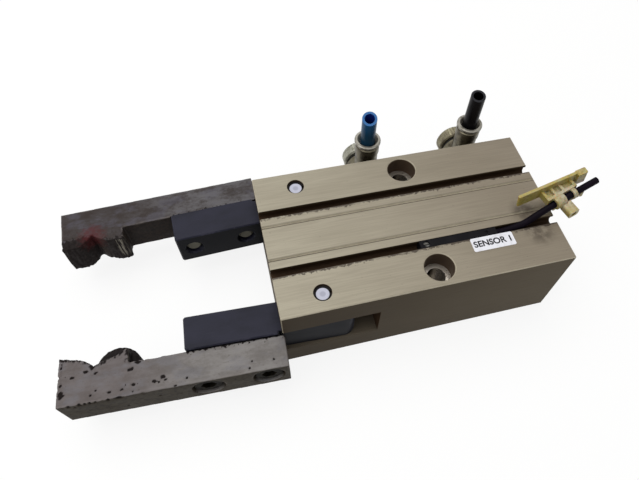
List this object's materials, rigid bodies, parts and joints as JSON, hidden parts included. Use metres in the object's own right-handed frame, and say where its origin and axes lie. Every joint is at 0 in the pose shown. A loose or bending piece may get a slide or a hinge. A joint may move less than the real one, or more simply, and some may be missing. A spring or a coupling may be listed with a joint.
{
  "type": "pneumatic gripper",
  "caption": "Flat block-bodied pneumatic gripper: a piston swings jaw levers on pivot pins, with bolted steel fingers, swivel elbow air fittings and a groove-mounted switch.",
  "frame": {"origin": "midway between the two mounting holes, on the mounting face", "axes": "+X out of the jaws, +Z out of the face with the switch grooves, +Y to the side without the air fittings"},
  "size_m": [0.2534, 0.1186, 0.0677],
  "materials": {
    "anodised": "satin anodised, fine brushed",
    "clear_alu": "turned",
    "ground_steel": "ground",
    "worn_steel": "ground, pitted and stained",
    "black_steel": "black oxide",
    "spring_steel": "oiled black",
    "screw_steel": "black oxide",
    "chrome_rod": "hard chromed",
    "bronze": "sintered",
    "nickel_brass": "nickel plated",
    "seal_rubber": "smooth",
    "guide_plastic": "moulded",
    "magnet_black": "bonded magnet",
    "bumper_plastic": "polyurethane",
    "blue_tube": "extruded polyurethane",
    "black_tube": "extruded polyurethane",
    "collar_plate": "satin",
    "switch_case": "moulded",
    "cable_jacket": "oil resistant jacket",
    "aged_nylon": "yellowed, slightly translucent",
    "white_label": "laminated film"
  },
  "bodies": {
    "housing": {"body": "anodised", "rod_bush": "bronze", "rod_seal": "seal_rubber", "rear_cover": "clear_alu", "cover_seal": "seal_rubber", "cover_clip": "spring_steel", "front_bumper": "bumper_plastic", "rear_bumper": "bumper_plastic", "near_pin": "ground_steel", "far_pin": "ground_steel", "pin_clips": "spring_steel", "auto_switch": "switch_case", "switch_screw": "ground_steel", "switch_cable": "cable_jacket", "marker_tie": "aged_nylon", "position_label": "white_label", "front_port_washer": "seal_rubber", "front_port_stem": "nickel_brass", "front_cap_washer": "seal_rubber", "front_port_cap": "nickel_brass", "rear_port_washer": "seal_rubber", "rear_port_stem": "nickel_brass", "rear_cap_washer": "seal_rubber", "rear_port_cap": "nickel_brass"},
    "piston_unit": {"piston": "clear_alu", "piston_seal": "seal_rubber", "piston_magnet": "magnet_black", "guide_ring": "guide_plastic", "piston_nut": "ground_steel", "piston_rod": "chrome_rod"},
    "near_jaw": {"near_lever": "black_steel", "near_bush": "bronze", "near_finger": "worn_steel", "near_finger_screws": "screw_steel"},
    "far_jaw": {"far_lever": "black_steel", "far_bush": "bronze", "far_finger": "worn_steel", "far_finger_screws": "screw_steel"},
    "front_swivel": {"front_elbow": "nickel_brass", "front_tube": "blue_tube"},
    "rear_swivel": {"rear_elbow": "nickel_brass", "rear_tube": "black_tube"},
    "front_release": {"front_collar": "collar_plate"},
    "rear_release": {"rear_collar": "collar_plate"}
  },
  "joints": [
    {"name": "near_jaw_pivot", "type": "hinge", "parent": "housing", "child": "near_jaw", "pos_m": [0.054, 0.0297, 0.0235], "axis": [0, 0, 1], "range_deg": [0, 30]},
    {"name": "far_jaw_pivot", "type": "hinge", "parent": "housing", "child": "far_jaw", "pos_m": [0.054, -0.0297, 0.0235], "axis": [0, 0, 1], "range_deg": [-30, 0]},
    {"name": "piston_slide", "type": "slide", "parent": "housing", "child": "piston_unit", "axis": [1, 0, 0], "range_m": [0, 0.01062]},
    {"name": "front_elbow_swivel", "type": "hinge", "parent": "housing", "child": "front_swivel", "pos_m": [0.0116, -0.0512, 0.0235], "axis": [0, 1, 0], "range_deg": [-35, 180]},
    {"name": "rear_elbow_swivel", "type": "hinge", "parent": "housing", "child": "rear_swivel", "pos_m": [-0.0454, -0.0512, 0.0235], "axis": [0, 1, 0], "range_deg": [-180, 35]},
    {"name": "front_collar_press", "type": "slide", "parent": "front_swivel", "child": "front_release", "axis": [0, 0, -1], "range_m": [0, 0.0011], "stiffness_N_per_m": 800, "springref_m": -0.0003},
    {"name": "rear_collar_press", "type": "slide", "parent": "rear_swivel", "child": "rear_release", "axis": [0, 0, -1], "range_m": [0, 0.0011], "stiffness_N_per_m": 800, "springref_m": -0.0003}
  ],
  "couplings": [
    {"joint": "far_jaw_pivot", "follows": "near_jaw_pivot", "ratio": -1},
    {"joint": "piston_slide", "follows": "near_jaw_pivot", "m_per_rad": 0.020267}
  ]
}
